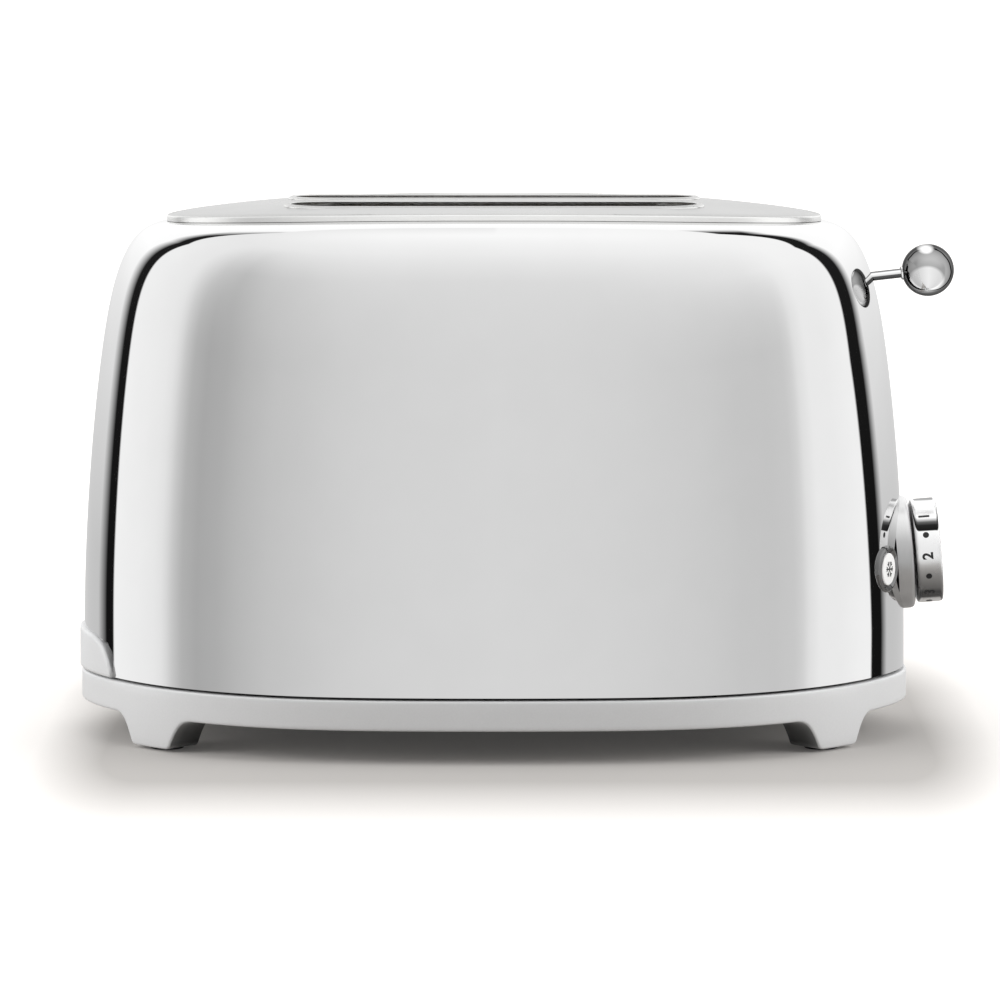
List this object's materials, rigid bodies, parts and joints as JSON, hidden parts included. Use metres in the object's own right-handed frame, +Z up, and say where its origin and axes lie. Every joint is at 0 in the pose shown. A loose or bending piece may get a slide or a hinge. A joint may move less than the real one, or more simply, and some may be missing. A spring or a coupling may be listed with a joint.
{
  "type": "two-slice toaster",
  "caption": "Rounded two-slice toaster with a polished steel shell, satin slotted top plate, side lever with ball knob, browning dial, push buttons and slide-out crumb tray.",
  "frame": {"origin": "on the standing surface, under the middle of the whole part's outer box", "axes": "+Z up, +X along the length towards the lever and the dial, +Y towards the back; the front face looks along -Y"},
  "size_m": [0.3279, 0.1952, 0.1984],
  "materials": {
    "polished_steel": "mirror polished stainless steel",
    "satin_steel": "fine satin",
    "silver_moulding": "silver lacquered moulding, satin",
    "rubber": "matte",
    "zinc_sheet": "zinc plated sheet",
    "bright_steel": "bright drawn wire and bar",
    "mica": "pressed mica board",
    "resistance_wire": "oxidised resistance ribbon",
    "black_plastic": "satin moulded",
    "white_plastic": "satin moulded",
    "circuit_board": "green solder resist",
    "copper_winding": "enamelled copper winding"
  },
  "bodies": {
    "housing": {"outer_shell": "polished_steel", "top_plate": "satin_steel", "base_ring": "silver_moulding", "foot_pad_front_left": "rubber", "foot_pad_front_right": "rubber", "foot_pad_rear_left": "rubber", "foot_pad_rear_right": "rubber", "bottom_plate": "zinc_sheet", "base_screw_front_left": "zinc_sheet", "base_screw_front_right": "zinc_sheet", "base_screw_rear_left": "zinc_sheet", "base_screw_rear_right": "zinc_sheet", "cord_gland": "black_plastic", "terminal_block": "black_plastic", "end_plate_left": "zinc_sheet", "end_plate_right": "zinc_sheet", "chamber_floor": "zinc_sheet", "slot_collar_front": "zinc_sheet", "slot_collar_rear": "zinc_sheet", "reflector_front": "zinc_sheet", "reflector_rear": "zinc_sheet", "heater_board_front": "mica", "heater_board_middle": "mica", "heater_board_rear": "mica", "heater_winding_front": "resistance_wire", "heater_winding_middle_front": "resistance_wire", "heater_winding_middle_rear": "resistance_wire", "heater_winding_rear": "resistance_wire", "guide_rod": "bright_steel", "rod_bracket": "zinc_sheet", "lift_spring": "bright_steel", "magnet_core": "bright_steel", "magnet_coil": "copper_winding", "control_board": "circuit_board", "potentiometer": "black_plastic", "button_switch_front": "black_plastic", "button_switch_rear": "black_plastic", "dial_bezel": "satin_steel", "button_ring_front": "polished_steel", "button_ring_rear": "polished_steel"},
    "carriage": {"carriage_slider": "black_plastic", "carriage_crossbar": "zinc_sheet", "bread_lift_front": "bright_steel", "bread_lift_rear": "bright_steel", "armature": "bright_steel", "lever_arm": "polished_steel", "lever_knob": "polished_steel"},
    "guide_front_outer": {"bread_guide_front_outer": "bright_steel"},
    "guide_front_inner": {"bread_guide_front_inner": "bright_steel"},
    "guide_rear_inner": {"bread_guide_rear_inner": "bright_steel"},
    "guide_rear_outer": {"bread_guide_rear_outer": "bright_steel"},
    "dial": {"dial": "satin_steel", "dial_shaft": "bright_steel"},
    "button_front": {"button_front": "white_plastic"},
    "button_rear": {"button_rear": "white_plastic"},
    "crumb_tray": {"crumb_tray": "bright_steel", "crumb_tray_handle": "silver_moulding"}
  },
  "joints": [
    {"name": "lever_slide", "type": "slide", "parent": "housing", "child": "carriage", "axis": [0, 0, -1], "range_m": [0, 0.072], "stiffness_N_per_m": 60, "springref_m": -0.06, "deforming": ["lift_spring"]},
    {"name": "guide_front_outer_slide", "type": "slide", "parent": "housing", "child": "guide_front_outer", "axis": [0, 1, 0], "range_m": [0, 0.006]},
    {"name": "guide_front_inner_slide", "type": "slide", "parent": "housing", "child": "guide_front_inner", "axis": [0, -1, 0], "range_m": [0, 0.006]},
    {"name": "guide_rear_inner_slide", "type": "slide", "parent": "housing", "child": "guide_rear_inner", "axis": [0, 1, 0], "range_m": [0, 0.006]},
    {"name": "guide_rear_outer_slide", "type": "slide", "parent": "housing", "child": "guide_rear_outer", "axis": [0, -1, 0], "range_m": [0, 0.006]},
    {"name": "dial_turn", "type": "hinge", "parent": "housing", "child": "dial", "pos_m": [0.14462, 0, 0.0664], "axis": [0.9965, 0, 0.0837], "range_deg": [-186.8, 46.7]},
    {"name": "button_front_press", "type": "slide", "parent": "housing", "child": "button_front", "axis": [-0.8921, 0.4518, 0], "range_m": [0, 0.0015], "stiffness_N_per_m": 300, "springref_m": -0.002},
    {"name": "button_rear_press", "type": "slide", "parent": "housing", "child": "button_rear", "axis": [-0.8921, -0.4518, 0], "range_m": [0, 0.0015], "stiffness_N_per_m": 300, "springref_m": -0.002},
    {"name": "crumb_tray_slide", "type": "slide", "parent": "housing", "child": "crumb_tray", "axis": [-1, 0, 0], "range_m": [0, 0.22]}
  ],
  "couplings": [
    {"joint": "guide_front_outer_slide", "follows": "lever_slide", "ratio": 0.0833},
    {"joint": "guide_front_inner_slide", "follows": "lever_slide", "ratio": 0.0833},
    {"joint": "guide_rear_inner_slide", "follows": "lever_slide", "ratio": 0.0833},
    {"joint": "guide_rear_outer_slide", "follows": "lever_slide", "ratio": 0.0833}
  ]
}
